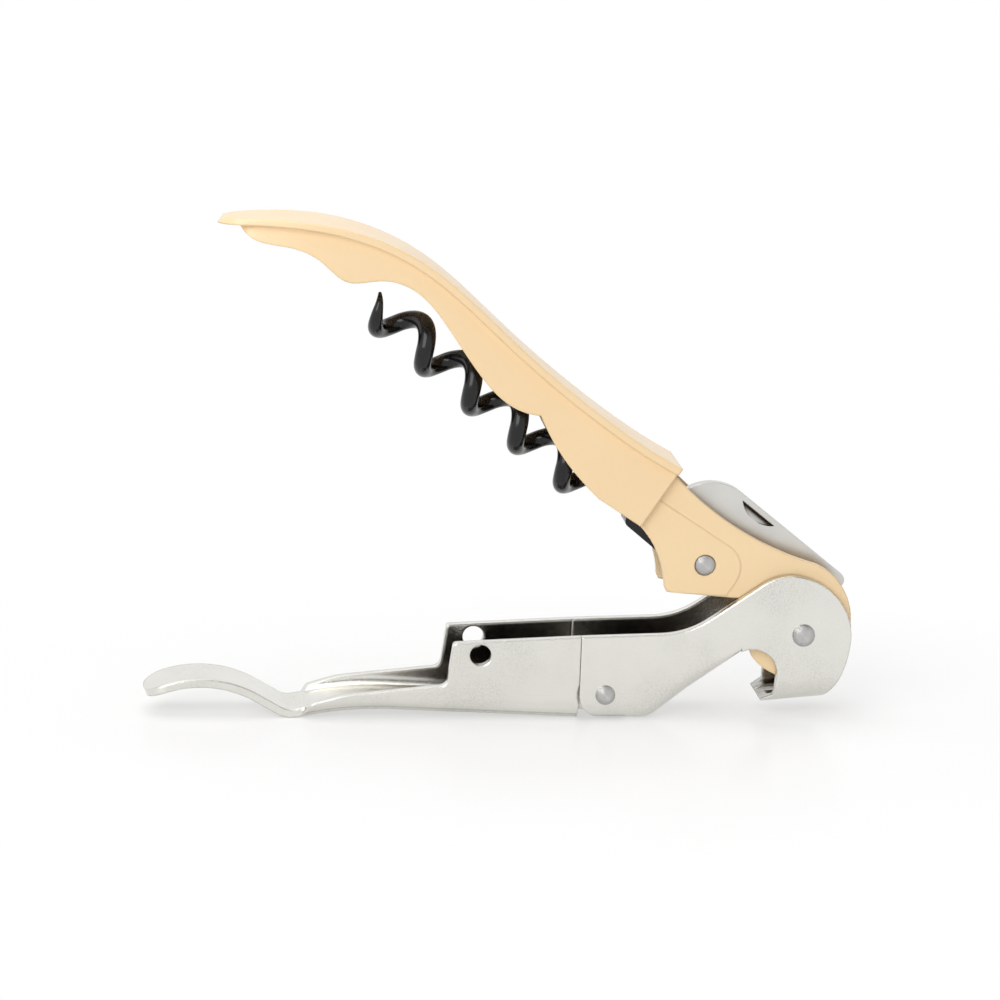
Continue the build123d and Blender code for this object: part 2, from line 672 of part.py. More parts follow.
with BuildPart() as nail_nick:
    with BuildSketch(KNIFE):
        with BuildLine():
            Line((NICK_X - NICK_LENGTH / 2, NICK_TOP), (NICK_X + NICK_LENGTH / 2, NICK_TOP))
            ThreePointArc(
                (NICK_X - NICK_LENGTH / 2, NICK_TOP),
                (NICK_X, NICK_TOP - NICK_DEPTH),
                (NICK_X + NICK_LENGTH / 2, NICK_TOP),
            )
        make_face()
    extrude(amount=KNIFE_SHEET)
    nick_corner = KNIFE.from_local_coords(Vector(NICK_X - NICK_LENGTH, NICK_TOP, KNIFE_SHEET / 2))
    with BuildSketch(Plane(origin=nick_corner, x_dir=KNIFE.z_dir, z_dir=KNIFE.x_dir)):
        with BuildLine():
            Polyline(
                (-NICK_SINK, 0),
                (KNIFE_SHEET, 0),
                (KNIFE_SHEET, NICK_DEPTH),
                (0, NICK_DEPTH),
                close=True,
            )
        make_face()
    extrude(amount=2 * NICK_LENGTH, mode=Mode.INTERSECT)

with BuildPart() as knife:
    with BuildSketch(KNIFE):
        with BuildLine():
            Line((SPINE_START, SPINE), (HEEL_X, SPINE))
            ThreePointArc((HEEL_X, SPINE), HEEL_ROUND, HEEL_FOOT)
            Line(HEEL_FOOT, (TANG_RADIUS, 0))
            ThreePointArc((TANG_RADIUS, 0), (0, -TANG_RADIUS), (-TANG_RADIUS, 0))
            Line((-TANG_RADIUS, 0), EDGE_HEEL)
            Line(EDGE_HEEL, KNIFE_POINT)
            ThreePointArc(KNIFE_POINT, POINT_ROUND, (SPINE_START, SPINE))
        make_face()
    extrude(amount=KNIFE_SHEET / 2, both=True)
    with BuildSketch(KNIFE):
        Circle(HEAD_PIN / 2 + PIN_CLEARANCE)
    extrude(amount=KNIFE_SHEET, both=True, mode=Mode.SUBTRACT)
    add(nail_nick.part, mode=Mode.SUBTRACT)
save(knife, "knife")

# Worm: a cast hub on the worm rivet and a right-hand wire helix set into it
HELIX_RADIUS = (WORM_OUTER - WORM_WIRE) / 2
QUARTER = pi / 2
FIRST_CROWN = -3 * pi / 2
HELIX_START = FIRST_CROWN + pi / 4
HELIX_END = FIRST_CROWN + 2 * pi * WORM_TURNS - radians(WORM_SHORT)
advance = WORM_PITCH / (2 * pi)


def helix_point(t):
    """A point of the helix in the worm's own axes."""
    along = WORM_START + advance * (t - FIRST_CROWN)
    return Vector(-along, HELIX_RADIUS * sin(t) - WORM_OFFSET, HELIX_RADIUS * cos(t))


def helix_tangent(t):
    """The helix's direction, towards the point."""
    return Vector(-advance, HELIX_RADIUS * cos(t), -HELIX_RADIUS * sin(t)).normalized()


def biarc_middle(start, start_dir, end, end_dir):
    """Where the two arcs of a biarc meet."""
    chord = end - start
    both = start_dir + end_dir
    turn = 2 * (1 - start_dir.dot(end_dir))
    reach = (-chord.dot(both) + (chord.dot(both) ** 2 + turn * chord.dot(chord)) ** 0.5) / turn
    return (start + start_dir * reach + end - end_dir * reach) / 2


def worm_place(point, direction):
    """A point and a direction of the worm's own axes, placed on the handle."""
    place = WORM.from_local_coords(point)
    return place, WORM.from_local_coords(point + direction) - place


along_shank = Vector(-1, 0, 0)
shank_start = Vector(-(HUB_LENGTH - SHANK_DEPTH), -SHANK_DROP, 0)
shank_end = Vector(-HUB_LENGTH - SHANK_FREE, -SHANK_DROP, 0)
steps = round((HELIX_END - HELIX_START) / QUARTER)
stations = [worm_place(shank_start, along_shank), worm_place(shank_end, along_shank)]
for i in range(steps + 1):
    t = HELIX_START + (HELIX_END - HELIX_START) * i / steps
    stations.append(worm_place(helix_point(t), helix_tangent(t)))
full_wire = stations[1:-TAPER_STEPS]
tapered_wire = stations[-TAPER_STEPS - 1:]

with BuildPart() as worm:
    with BuildLine():
        Line(stations[0][0], stations[1][0])
        for (p0, d0), (p1, d1) in zip(full_wire, full_wire[1:]):
            middle = biarc_middle(p0, d0, p1, d1)
            first = TangentArc(p0, middle, tangent=d0)
            TangentArc(middle, p1, tangent=first % 1)
    with BuildSketch(Plane(origin=stations[0][0], z_dir=stations[0][1])):
        Circle(WORM_WIRE / 2)
    sweep()
    with BuildLine():
        for (p0, d0), (p1, d1) in zip(tapered_wire, tapered_wire[1:]):
            middle = biarc_middle(p0, d0, p1, d1)
            first = TangentArc(p0, middle, tangent=d0)
            TangentArc(middle, p1, tangent=first % 1)
    with BuildSketch(Plane(origin=tapered_wire[0][0], z_dir=tapered_wire[0][1])):
        Circle(WORM_WIRE / 2)
    with BuildSketch(Plane(origin=tapered_wire[1][0], z_dir=tapered_wire[1][1])):
        Circle(TAPER_WIRE / 2)
    with BuildSketch(Plane(origin=tapered_wire[-1][0], z_dir=tapered_wire[-1][1])):
        Circle(TIP_WIRE / 2)
    sweep(multisection=True)
save(worm, "worm")

# Least gap of the wire to itself, measured on points a whole turn apart or more
samples = 48
wire_points = [
    helix_point(HELIX_START + 2 * pi * i / samples)
    for i in range(int((HELIX_END - HELIX_START) / (2 * pi) * samples))
]
least_gap = min(
    (wire_points[i] - wire_points[j]).length - WORM_WIRE
    for i in range(len(wire_points))
    for j in range(i + samples // 2, len(wire_points))
)
print(f"worm: least gap to itself {least_gap:.2f} mm")

with BuildPart() as worm_hub:
    with BuildSketch(WORM):
        Circle(HUB_RADIUS)
        with Locations((-HUB_LENGTH / 2, 0)):
            Rectangle(HUB_LENGTH, 2 * HUB_RADIUS)
    extrude(amount=HUB_WIDTH / 2, both=True)
    end_edges = worm_hub.edges().filter_by(Axis.Y).sort_by(Axis.X)[:2]
    fillet(end_edges, HUB_CORNER)
    with BuildSketch(WORM):
        Circle(WORM_PIN / 2 + PIN_CLEARANCE)
    extrude(amount=HUB_WIDTH, both=True, mode=Mode.SUBTRACT)
    with BuildSketch(Plane(origin=stations[0][0], z_dir=stations[0][1])):
        Circle(WORM_WIRE / 2 + SEAT_CLEARANCE)
    extrude(amount=SHANK_DEPTH + BEYOND, mode=Mode.SUBTRACT)
save(worm_hub, "worm_hub")

# Washers that centre the worm's hub and the knife between the frame's walls
WASHERS = [
    ("worm_spacer", WORM, WORM_WASHER, WORM_PIN, HUB_WIDTH / 2),
    ("knife_spacer", KNIFE, KNIFE_BUSH, HEAD_PIN, KNIFE_SHEET / 2),
]
for name, plane, outer, bore, inner_face in WASHERS:
    thickness = FRAME_INNER / 2 - inner_face - SIDE_CLEARANCE
    for label, side in (("front", 1), ("rear", -1)):
        with BuildPart() as washer:
            with BuildSketch(plane.offset(side * FRAME_INNER / 2)):
                Circle(outer / 2)
                Circle(bore / 2 + PIN_CLEARANCE, mode=Mode.SUBTRACT)
            extrude(amount=-side * thickness)
        save(washer, f"{name}_{label}")

# Rivets: plain pins with low domed heads
RIVETS = [
    ("head_rivet", LEVER, (0, 0), HEAD_PIN, HEAD_RIVET_HEAD, LEVER_OUTER / 2 + SIDE_CLEARANCE),
    ("link_rivet", LEVER, LINK_RIVET, LINK_PIN, LINK_RIVET_HEAD, LEVER_OUTER / 2),
    ("worm_rivet", HANDLE, WORM_RIVET, WORM_PIN, WORM_RIVET_HEAD, FRAME_WIDTH / 2 - WORM_HEAD_SINK),
]
for name, plane, place, pin, head, seat in RIVETS:
    rise = WORM_HEAD_SINK + PAD_RISE if name == "worm_rivet" else RIVET_HEAD_RISE
    with BuildPart() as rivet:
        with BuildSketch(plane):
            with Locations(place):
                Circle(pin / 2)
        extrude(amount=seat, both=True)
        for side in (1, -1):
            with BuildSketch(plane.offset(side * seat)):
                with Locations(place):
                    Circle(head / 2)
            extrude(amount=side * rise)
        chamfer(rivet.faces().filter_by(Axis.Y).sort_by(Axis.Y)[0].edges(), RIVET_DOME)
        chamfer(rivet.faces().filter_by(Axis.Y).sort_by(Axis.Y)[-1].edges(), RIVET_DOME)
    save(rivet, name)
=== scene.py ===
"""Finishes and studio for a folding two-stage lever corkscrew."""

import math

import bpy
from mathutils import Matrix, Vector


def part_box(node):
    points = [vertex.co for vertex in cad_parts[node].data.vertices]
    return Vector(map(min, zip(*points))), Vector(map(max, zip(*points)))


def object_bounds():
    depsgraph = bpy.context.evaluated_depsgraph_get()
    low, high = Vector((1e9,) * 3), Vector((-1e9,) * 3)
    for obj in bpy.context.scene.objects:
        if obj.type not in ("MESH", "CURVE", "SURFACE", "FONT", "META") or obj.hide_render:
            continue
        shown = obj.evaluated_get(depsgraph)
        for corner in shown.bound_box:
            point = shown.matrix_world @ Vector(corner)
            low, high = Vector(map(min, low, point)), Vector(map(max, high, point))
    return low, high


bl_info = {
    "name": "Lever Corkscrew Finishes",
    "version": (1, 0, 0),
    "blender": (4, 5, 0),
    "location": "View3D > Sidebar > Corkscrew",
    "description": "Paints, plates and lights a folding two-stage lever corkscrew",
    "category": "Material",
}

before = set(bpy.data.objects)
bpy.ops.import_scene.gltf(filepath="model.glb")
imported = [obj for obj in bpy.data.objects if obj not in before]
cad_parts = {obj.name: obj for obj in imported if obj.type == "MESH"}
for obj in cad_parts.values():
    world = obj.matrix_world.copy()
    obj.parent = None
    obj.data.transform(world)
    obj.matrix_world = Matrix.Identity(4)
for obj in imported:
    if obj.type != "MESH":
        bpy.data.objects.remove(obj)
cad_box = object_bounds()

# Which finish each piece takes
PAINTED_PIECES = ("handle_frame", "grip_shell")
COATED_PIECES = ("worm", "worm_hub")
PLATED_PIECES = ("lever_upper_link", "lever_lower_link")
GROUND_PIECES = ("knife",)
TURNED_PIECES = (
    "head_rivet",
    "link_rivet",
    "worm_rivet",
    "worm_spacer_front",
    "worm_spacer_rear",
    "knife_spacer_front",
    "knife_spacer_rear",
)

WHITE = (1, 1, 1, 1)

# Parts of a pattern's range that are spread over a blend
MOTTLE = (0.35, 0.75)
SMEAR_RANGE = (0.3, 0.7)
PIT_RANGE = (0.45, 0.75)
PATCH_RANGE = (0.45, 0.65)
SAG_RANGE = (0.4, 0.8)

# Roughness from end to end of a pattern, some of it about a setting
PAINT_ROUGHNESS_SPREAD = (-0.05, 0.07)
PLATE_ROUGHNESS_SPREAD = (-0.06, 0.1)
COAT_ROUGHNESS_SPREAD = (-0.05, 0.08)
KNIFE_ROUGHNESS = (0.26, 0.42)
RIVET_ROUGHNESS = (0.24, 0.4)
FLOOR_ROUGHNESS = (0.18, 0.26)

# Gloss of the finishes that aren't metal, and the clear layer over two of them
PAINT_GLOSS = 0.5
PAINT_CLEAR = 0.5
PAINT_CLEAR_ROUGHNESS = 0.25
COAT_GLOSS = 0.28
COAT_CLEAR = 0.15
COAT_CLEAR_ROUGHNESS = 0.12
FLOOR_GLOSS = 0.35

# Widths of clouds, smears, haze, grain and swell, in metres
PAINT_CLOUD = 0.018
PAINT_SMEAR = 0.006
PLATE_HAZE = 0.012
PLATE_GRAIN = 0.0012
PLATE_SWELL = 0.004
KNIFE_HAZE = 0.008
# Reach of the painted shade in the nail nick
NICK_SHADE_REACH = 0.003
FLOOR_MOTTLE = 0.05

# Heights of the relief in each finish, in metres
RIPPLE_HEIGHT = 0.00003
PIT_HEIGHT = 0.00005
LINE_HEIGHT = 0.00001
RING_HEIGHT = 0.00006
SAG_HEIGHT = 0.00006

# How strongly that relief shows
RIPPLE_STRENGTH = 0.25
PIT_STRENGTH = 0.6
LINE_STRENGTH = 0.2
RING_STRENGTH = 0.5
SAG_STRENGTH = 0.05

# Radii of the smaller rounded edges, in metres
KNIFE_EDGE = 0.00025
RIVET_EDGE = 0.0012
COAT_EDGE = 0.0003

# Second tone of each finish, as a multiple of its colour, and the most of it that shows
PLATE_DARKER = 0.86
PLATE_DARKER_SHARE = 0.5
KNIFE_DARKER = 0.8
KNIFE_DARKER_SHARE = 0.6
RIVET_DARKER = 0.5
RIVET_DARKER_SHARE = 0.8
COAT_LIGHTER = 1.6
COAT_LIGHTER_SHARE = 0.6
THIN_SHARE = 0.25
EDGE_DARKER_SHARE = 0.35

# How open a place is where the painted shade in a channel or in the nail nick is darkest, and where
# it ends
PAINTED_SHADE_OPENNESS = (0.28, 0.85)
NICK_SHADE_OPENNESS = (0.6, 0.97)
# Least share of the painted shade in the channels, toward the tongue end of the lever
SHADE_FADE_LEAST = 0.2

# Least share of the painted stipple, a painted dark reflection, between its patches
PAINTED_STIPPLE_LEAST = 0.1

# Cosine of the turn at which an edge counts as fully rounded
EDGE_TURN = 0.85
BEVEL_SAMPLES = 6
HOLLOW_SAMPLES = 12

# Turned rings on the rivets
RING_SCALE = 5.0
RING_WAVER = 1.2

# Scale of the grinding pattern along the blade, which draws its spots out into lines
LINE_SCALE = (0.012, 1.0, 1.0)

# Floor, lamps and camera, in metres, apart from the sensor in millimetres
FLOOR_HALF = 3.0
FLOOR_LEVEL = -0.00002
FADE_START = 0.06
FADE_END = 0.15
FADE_SHAPE = (1.0, 0.5, 1.0)
TOP_LAMP_PLACE = (-0.15, 0.1, 0.95)
TOP_LAMP_SIZE = 0.9
FRONT_LAMP_PLACE = (-0.55, -0.75, 0.55)
FRONT_LAMP_SIZE = 0.7
SENSOR_WIDTH = 36
CLIP_START = 0.01

# Upward part of the view direction where the dark ceiling starts and is complete
CEILING_START = 0.55
CEILING_FULL = 0.85


class CorkscrewPaint(bpy.types.PropertyGroup):
    """Cream paint of the handle."""

    colour: bpy.props.FloatVectorProperty(
        name="Cream", description="Colour of the paint where it lies thick",
        subtype="COLOR", size=3, min=0, max=1, default=(0.93, 0.695, 0.41),
    )
    thin_colour: bpy.props.FloatVectorProperty(
        name="Thin cream", description="Second colour of the paint, in patches and along rounded edges",
        subtype="COLOR", size=3, min=0, max=1, default=(0.86, 0.61, 0.33),
    )
    roughness: bpy.props.FloatProperty(
        name="Roughness", description="How soft the paint's highlights are",
        subtype="FACTOR", min=0, max=1, default=0.38,
    )
    peel: bpy.props.FloatProperty(
        name="Orange peel", description="Width of the ripples left by spraying",
        unit="LENGTH", min=0.0001, max=0.01, default=0.0007,
    )
    edge: bpy.props.FloatProperty(
        name="Edge", description="Radius to which the paint rounds an edge",
        unit="LENGTH", min=0.0, max=0.002, default=0.00045,
    )


class CorkscrewPlate(bpy.types.PropertyGroup):
    """Bright nickel plate of the lever."""

    colour: bpy.props.FloatVectorProperty(
        name="Nickel", description="Colour of the plate",
        subtype="COLOR", size=3, min=0, max=1, default=(0.77, 0.76, 0.71),
    )
    roughness: bpy.props.FloatProperty(
        name="Roughness", description="How soft the plate's reflections are",
        subtype="FACTOR", min=0, max=1, default=0.15,
    )
    pits: bpy.props.FloatProperty(
        name="Pits", description="Width of the pits that the pressing leaves under the plate",
        unit="LENGTH", min=0.0001, max=0.01, default=0.0003,
    )
    edge: bpy.props.FloatProperty(
        name="Edge", description="Radius to which the tumbled edges are worn",
        unit="LENGTH", min=0.0, max=0.002, default=0.0006,
    )
    # Painted reflection: dark specks standing for a dark room mirrored in the plate
    painted_stipple: bpy.props.FloatProperty(
        name="Stipple", description="How dark the painted stipple is, specks that stand for a dark room mirrored in the plate",
        subtype="FACTOR", min=0, max=1, default=0.22,
    )
    # Painted shade: a dark colour laid deep in the lever's channels
    painted_shade_colour: bpy.props.FloatVectorProperty(
        name="Recess", description="Colour of the painted shade inside the channels and of the painted stipple",
        subtype="COLOR", size=3, min=0, max=1, default=(0.115, 0.10, 0.09),
    )
    painted_shade_reach: bpy.props.FloatProperty(
        name="Recess depth",
        description="Reach of the painted shade in the hollows",
        unit="LENGTH", min=0.001, max=0.1, default=0.018,
    )
    # The painted shade in the channels fades out along the lever toward its tongue end
    shade_fade_start: bpy.props.FloatProperty(
        name="Shade fades from",
        description="Where along the lever the painted shade in the channel starts to fade",
        unit="LENGTH", default=-0.030,
    )
    shade_fade_end: bpy.props.FloatProperty(
        name="Shade least at", description="Where along the lever the painted shade in the channel is at its least",
        unit="LENGTH", default=-0.042,
    )


class CorkscrewSteel(bpy.types.PropertyGroup):
    """Ground steel of the knife and turned steel of the rivets."""

    knife_colour: bpy.props.FloatVectorProperty(
        name="Blade", description="Colour of the ground blade",
        subtype="COLOR", size=3, min=0, max=1, default=(0.69, 0.68, 0.65),
    )
    # Painted shade in the nail nick
    nick_shade_colour: bpy.props.FloatVectorProperty(
        name="Nick", description="Colour of the painted shade in the nail nick",
        subtype="COLOR", size=3, min=0, max=1, default=(0.16, 0.14, 0.12),
    )
    rivet_colour: bpy.props.FloatVectorProperty(
        name="Rivet", description="Colour of the rivets and washers",
        subtype="COLOR", size=3, min=0, max=1, default=(0.62, 0.61, 0.60),
    )
    grind_angle: bpy.props.FloatProperty(
        name="Grind", description="Slope of the blade, which the grinding lines follow",
        subtype="ANGLE", default=math.radians(38.15),
    )
    grind_width: bpy.props.FloatProperty(
        name="Line width", description="Width of one grinding line",
        unit="LENGTH", min=0.00001, max=0.001, default=0.00012,
    )


class CorkscrewCoat(bpy.types.PropertyGroup):
    """Black non-stick coat of the worm."""

    colour: bpy.props.FloatVectorProperty(
        name="Black", description="Colour of the coat",
        subtype="COLOR", size=3, min=0, max=1, default=(0.007, 0.007, 0.0075),
    )
    roughness: bpy.props.FloatProperty(
        name="Roughness", description="How soft the coat's highlights are",
        subtype="FACTOR", min=0, max=1, default=0.14,
    )
    flow: bpy.props.FloatProperty(
        name="Flow", description="Length of the sags in the coat",
        unit="LENGTH", min=0.0001, max=0.01, default=0.0016,
    )


class CorkscrewStage(bpy.types.PropertyGroup):
    """Camera, floor and lamps."""

    azimuth: bpy.props.FloatProperty(
        name="Azimuth", description="How far the camera stands to the right of the front",
        subtype="ANGLE", default=math.radians(-7.0),
    )
    elevation: bpy.props.FloatProperty(
        name="Elevation", description="How far the camera looks down",
        subtype="ANGLE", default=math.radians(13.5),
    )
    roll: bpy.props.FloatProperty(
        name="Roll", description="Turn of the camera about its own axis",
        subtype="ANGLE", default=math.radians(2.1),
    )
    distance: bpy.props.FloatProperty(
        name="Distance", description="Distance from the camera to the head rivet along its axis",
        unit="LENGTH", default=0.6,
    )
    lens: bpy.props.FloatProperty(
        name="Lens", description="Focal length on a 36 mm sensor, in millimetres",
        min=1, default=136.08,
    )
    rivet_across: bpy.props.FloatProperty(
        name="Rivet across",
        description="Place of the head rivet across the picture, from the left",
        subtype="FACTOR", min=0, max=1, default=0.8037,
    )
    rivet_down: bpy.props.FloatProperty(
        name="Rivet down", description="Place of the head rivet down the picture, from the top",
        subtype="FACTOR", min=0, max=1, default=0.6355,
    )
    floor_colour: bpy.props.FloatVectorProperty(
        name="Floor", description="Colour of the floor",
        subtype="COLOR", size=3, min=0, max=1, default=(0.90, 0.90, 0.895),
    )
    top_power: bpy.props.FloatProperty(
        name="Top lamp", description="Power of the soft lamp overhead",
        unit="POWER", min=0, default=5.25,
    )
    front_power: bpy.props.FloatProperty(
        name="Front lamp", description="Power of the soft lamp at the front left",
        unit="POWER", min=0, default=5.5,
    )
    sky: bpy.props.FloatProperty(
        name="Sky", description="Strength of the even light from all round",
        min=0, default=0.42,
    )
    ceiling: bpy.props.FloatProperty(
        name="Ceiling",
        description="How bright the ceiling over the lamps is where metal mirrors it",
        subtype="FACTOR", min=0, max=1, default=0.12,
    )
    shadow: bpy.props.FloatProperty(
        name="Shadow", description="How much of the object's shadow shows on the floor close to it",
        subtype="FACTOR", min=0, max=1, default=0.55,
    )


SETTINGS = {
    "corkscrew_paint": CorkscrewPaint,
    "corkscrew_plate": CorkscrewPlate,
    "corkscrew_steel": CorkscrewSteel,
    "corkscrew_coat": CorkscrewCoat,
    "corkscrew_stage": CorkscrewStage,
}


class Nodes:
    """Short calls to add nodes to a tree."""

    def __init__(self, tree):
        self.tree = tree

    def put(self, node, key, value):
        """Sets or links a socket of a node."""
        if isinstance(value, bpy.types.NodeSocket):
            self.tree.links.new(value, node.inputs[key])
        else:
            node.inputs[key].default_value = value

    def add(self, kind, sockets=None, **options):
        """Adds a node, sets its options, and sets or links the named sockets."""
        made = self.tree.nodes.new(kind)
        for key, value in options.items():
            setattr(made, key, value)
        for key, value in (sockets or {}).items():
            self.put(made, key, value)
        return made

    def combine(self, operation, first, second):
        """The result of an operation on two values."""
        return self.add("ShaderNodeMath", {0: first, 1: second}, operation=operation).outputs[0]

    def ramp(self, value, low, high, start=0.0, end=1.0):
        """Maps a value from one range to another."""
        sockets = {
            "Value": value, "From Min": start, "From Max": end, "To Min": low, "To Max": high,
        }
        return self.add("ShaderNodeMapRange", sockets).outputs["Result"]

    def shown(self, path):
        """One for what is seen straight, in a mirror or through glass."""
        seen = path.outputs["Is Camera Ray"]
        for ray in ("Is Glossy Ray", "Is Transmission Ray"):
            seen = self.combine("MAXIMUM", seen, path.outputs[ray])
        return seen

    def blend_shaders(self, share, first, second, output):
        """Sends a mix of two shaders to an output node."""
        sockets = {0: share, 1: first.outputs[0], 2: second.outputs[0]}
        mixed = self.add("ShaderNodeMixShader", sockets)
        self.put(self.tree.nodes[output], "Surface", mixed.outputs[0])


class Finish(Nodes):
    """A material with a Principled shader, and the patterns that it is made of."""

    def __init__(self, name):
        self.material = bpy.data.materials.new(name)
        self.material.use_nodes = True
        super().__init__(self.material.node_tree)
        self.shader = self.tree.nodes["Principled BSDF"]
        self.place = self.add("ShaderNodeTexCoord")

    def noise(self, width, detail=3.0, vector=None):
        """Noise whose features are about as wide as given, in metres."""
        vector = vector or self.place.outputs["Object"]
        sockets = {"Vector": vector, "Scale": 1 / width, "Detail": detail}
        return self.add("ShaderNodeTexNoise", sockets).outputs["Fac"]

    def rounded(self, radius):
        """The surface's normal with its edges rounded off."""
        bevel = self.add("ShaderNodeBevel", {"Radius": radius}, samples=BEVEL_SAMPLES)
        return bevel.outputs["Normal"]

    def edge_mask(self, normal):
        """One along the rounded edges and nought on the flats."""
        flat = self.add("ShaderNodeNewGeometry").outputs["Normal"]
        sockets = {0: normal, 1: flat}
        facing = self.add("ShaderNodeVectorMath", sockets, operation="DOT_PRODUCT")
        return self.ramp(facing.outputs["Value"], 0.0, 1.0, start=1.0, end=EDGE_TURN)

    def hollows(self, width, start, end):
        """One deep in the piece's own hollows and nought where it is open; it masks painted shade.
        """
        open_air = self.add(
            "ShaderNodeAmbientOcclusion",
            {"Distance": width},
            samples=HOLLOW_SAMPLES,
            only_local=True,
        )
        return self.ramp(open_air.outputs["AO"], 1.0, 0.0, start=start, end=end)

    def bump(self, height, strength, depth, normal=None):
        """A normal pushed about by a height, in metres."""
        sockets = {"Height": height, "Strength": strength, "Distance": depth}
        if normal:
            sockets["Normal"] = normal
        return self.add("ShaderNodeBump", sockets).outputs["Normal"]

    def mix(self, factor, first, second):
        """A colour between two."""
        sockets = {0: factor, 6: first, 7: second}
        return self.add("ShaderNodeMix", data_type="RGBA", sockets=sockets).outputs[2]

    def set(self, socket, value):
        """Sets or links a socket of the shader."""
        self.put(self.shader, socket, value)

    def dress(self, pieces):
        """Gives the finish to the named pieces."""
        for name in pieces:
            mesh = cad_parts[name].data
            mesh.materials.clear()
            mesh.materials.append(self.material)


def opaque(colour):
    """A colour with full alpha."""
    return (*colour, 1.0)


def around(middle, spread):
    """The two ends of a spread about a value."""
    return middle + spread[0], middle + spread[1]


def toned(colour, share):
    """A colour made darker or lighter."""
    return opaque([share * part for part in colour])


class CORKSCREW_OT_paint_handle(bpy.types.Operator):
    """Paint the frame and the grip cream"""

    bl_idname = "corkscrew.paint_handle"
    bl_label = "Paint Handle"

    def execute(self, context):
        paint = context.scene.corkscrew_paint
        finish = Finish("cream_paint")
        rounded = finish.rounded(paint.edge)
        edges = finish.edge_mask(rounded)
        clouds = finish.noise(PAINT_CLOUD, detail=2.0)
        thin = finish.ramp(clouds, 0.0, THIN_SHARE, *MOTTLE)
        body = finish.mix(thin, opaque(paint.colour), opaque(paint.thin_colour))
        # Darker along every rounded edge, inner and outer alike
        drawn = finish.combine("MULTIPLY", edges, EDGE_DARKER_SHARE)
        finish.set("Base Color", finish.mix(drawn, body, opaque(paint.thin_colour)))
        smears = finish.noise(PAINT_SMEAR, detail=4.0)
        spread = around(paint.roughness, PAINT_ROUGHNESS_SPREAD)
        finish.set("Roughness", finish.ramp(smears, *spread, *SMEAR_RANGE))
        ripples = finish.noise(paint.peel, detail=2.0)
        finish.set("Normal", finish.bump(ripples, RIPPLE_STRENGTH, RIPPLE_HEIGHT, rounded))
        finish.set("Coat Weight", PAINT_CLEAR)
        finish.set("Coat Roughness", PAINT_CLEAR_ROUGHNESS)
        finish.set("Specular IOR Level", PAINT_GLOSS)
        finish.dress(PAINTED_PIECES)
        return {"FINISHED"}


class CORKSCREW_OT_plate_lever(bpy.types.Operator):
    """Plate both links of the lever with bright nickel"""

    bl_idname = "corkscrew.plate_lever"
    bl_label = "Plate Lever"

    def execute(self, context):
        plate = context.scene.corkscrew_plate
        finish = Finish("bright_nickel")
        rounded = finish.rounded(plate.edge)
        haze = finish.noise(PLATE_HAZE, detail=3.0)
        shade = finish.ramp(haze, 0.0, PLATE_DARKER_SHARE, *MOTTLE)
        face = finish.mix(shade, opaque(plate.colour), toned(plate.colour, PLATE_DARKER))
        pits = finish.noise(plate.pits, detail=3.0)
        # Painted reflection: dark specks over the pits, gathered in patches
        specks = finish.ramp(pits, 0.0, plate.painted_stipple, *PIT_RANGE)
        patches = finish.ramp(haze, PAINTED_STIPPLE_LEAST, 1.0, *PATCH_RANGE)
        painted_stipple = finish.combine("MULTIPLY", specks, patches)
        face = finish.mix(painted_stipple, face, opaque(plate.painted_shade_colour))
        # Painted shade deep in the channels, cut back toward the tongue end of the lever
        inside = finish.hollows(plate.painted_shade_reach, *PAINTED_SHADE_OPENNESS)
        spot = finish.add("ShaderNodeSeparateXYZ", {0: finish.place.outputs["Object"]})
        shade_fade = (plate.shade_fade_end, plate.shade_fade_start)
        shade_along_lever = finish.ramp(spot.outputs["X"], SHADE_FADE_LEAST, 1.0, *shade_fade)
        channel_shade_share = finish.combine("MULTIPLY", inside, shade_along_lever)
        finish.set("Base Color", finish.mix(channel_shade_share, face, opaque(plate.painted_shade_colour)))
        finish.set("Metallic", 1.0)
        grain = finish.noise(PLATE_GRAIN, detail=4.0)
        spread = around(plate.roughness, PLATE_ROUGHNESS_SPREAD)
        finish.set("Roughness", finish.ramp(grain, *spread))
        swell = finish.noise(PLATE_SWELL, detail=2.0)
        relief = finish.combine("ADD", pits, swell)
        finish.set("Normal", finish.bump(relief, PIT_STRENGTH, PIT_HEIGHT, rounded))
        finish.dress(PLATED_PIECES)
        return {"FINISHED"}


class CORKSCREW_OT_grind_knife(bpy.types.Operator):
    """Grind the foil knife to a satin finish"""

    bl_idname = "corkscrew.grind_knife"
    bl_label = "Grind Knife"

    def execute(self, context):
        steel = context.scene.corkscrew_steel
        finish = Finish("knife_steel")
        turned = finish.add(
            "ShaderNodeVectorRotate",
            {"Vector": finish.place.outputs["Object"], "Angle": -steel.grind_angle},
            rotation_type="Y_AXIS",
        ).outputs["Vector"]
        drawn = finish.add("ShaderNodeMapping", {"Vector": turned, "Scale": LINE_SCALE})
        lines = finish.noise(steel.grind_width, detail=2.0, vector=drawn.outputs["Vector"])
        haze = finish.noise(KNIFE_HAZE, detail=3.0)
        shade = finish.ramp(haze, 0.0, KNIFE_DARKER_SHARE, *MOTTLE)
        darker = toned(steel.knife_colour, KNIFE_DARKER)
        face = finish.mix(shade, opaque(steel.knife_colour), darker)
        # Painted shade in the nail nick, darkest where it is least open
        nick = finish.hollows(NICK_SHADE_REACH, *NICK_SHADE_OPENNESS)
        finish.set("Base Color", finish.mix(nick, face, opaque(steel.nick_shade_colour)))
        finish.set("Metallic", 1.0)
        finish.set("Roughness", finish.ramp(lines, *KNIFE_ROUGHNESS))
        rounded = finish.rounded(KNIFE_EDGE)
        finish.set("Normal", finish.bump(lines, LINE_STRENGTH, LINE_HEIGHT, rounded))
        finish.dress(GROUND_PIECES)
        return {"FINISHED"}


